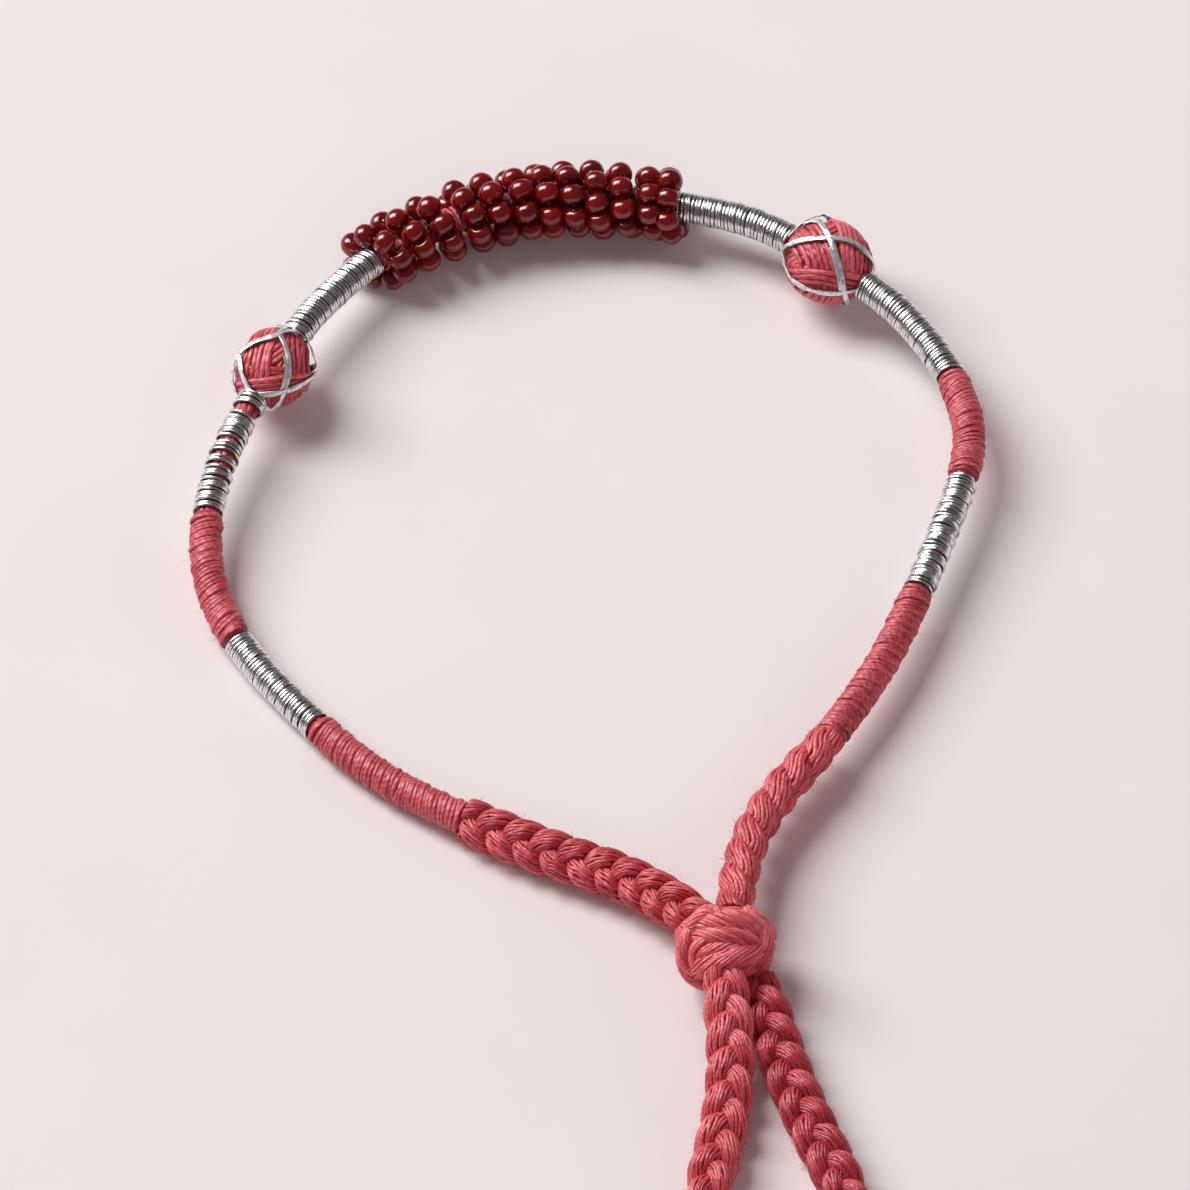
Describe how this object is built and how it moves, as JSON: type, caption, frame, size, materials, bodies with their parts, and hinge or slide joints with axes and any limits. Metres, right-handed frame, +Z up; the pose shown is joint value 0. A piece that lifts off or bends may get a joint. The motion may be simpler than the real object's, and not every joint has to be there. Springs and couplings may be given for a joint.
{
  "type": "rakhi thread bracelet",
  "caption": "Rakhi thread bracelet: a loop of wound pink and silver thread with red seed beads and thread balls, closed by a knot with braided tails, worn on a wrist.",
  "frame": {"origin": "on the surface that the bracelet lies on, in the middle of its whole outline", "axes": "+Z up from the surface, +Y from the tails towards the beads, +X to the right"},
  "size_m": [0.068, 0.111, 0.0083],
  "materials": {
    "core_thread": "pink thread bundle",
    "wrap_thread": "closely wound dusty pink yarn, matte with faint fuzz",
    "silver_thread": "flat silver metallic thread wound closely, bright and slightly uneven",
    "ball_thread": "pink thread wound in patches, with silver strips over it",
    "braid_thread": "plied pink thread in a flat braid",
    "seed_beads": "dark red glossy glass"
  },
  "bodies": {
    "root": {"core_cord": "core_thread", "bead_sleeve": "seed_beads", "silver_wrap_left_lower": "silver_thread", "silver_wrap_left_middle": "silver_thread", "silver_wrap_left_upper": "silver_thread", "silver_wrap_right_lower": "silver_thread", "silver_wrap_right_middle": "silver_thread", "silver_wrap_right_upper": "silver_thread", "pink_wrap_left_lower": "wrap_thread", "pink_wrap_left_upper": "wrap_thread", "pink_wrap_right_lower": "wrap_thread", "pink_wrap_right_upper": "wrap_thread", "thread_ball_left": "ball_thread", "thread_ball_right": "ball_thread", "left_arm_strand_1": "braid_thread", "left_arm_strand_2": "braid_thread", "left_arm_strand_3": "braid_thread", "right_arm_strand_1": "braid_thread", "right_arm_strand_2": "braid_thread", "right_arm_strand_3": "braid_thread", "left_tail_strand_1": "braid_thread", "left_tail_strand_2": "braid_thread", "left_tail_strand_3": "braid_thread", "right_tail_strand_1": "braid_thread", "right_tail_strand_2": "braid_thread", "right_tail_strand_3": "braid_thread", "knot": "braid_thread", "left_tail_whipping": "braid_thread", "right_tail_whipping": "braid_thread"}
  },
  "joints": []
}
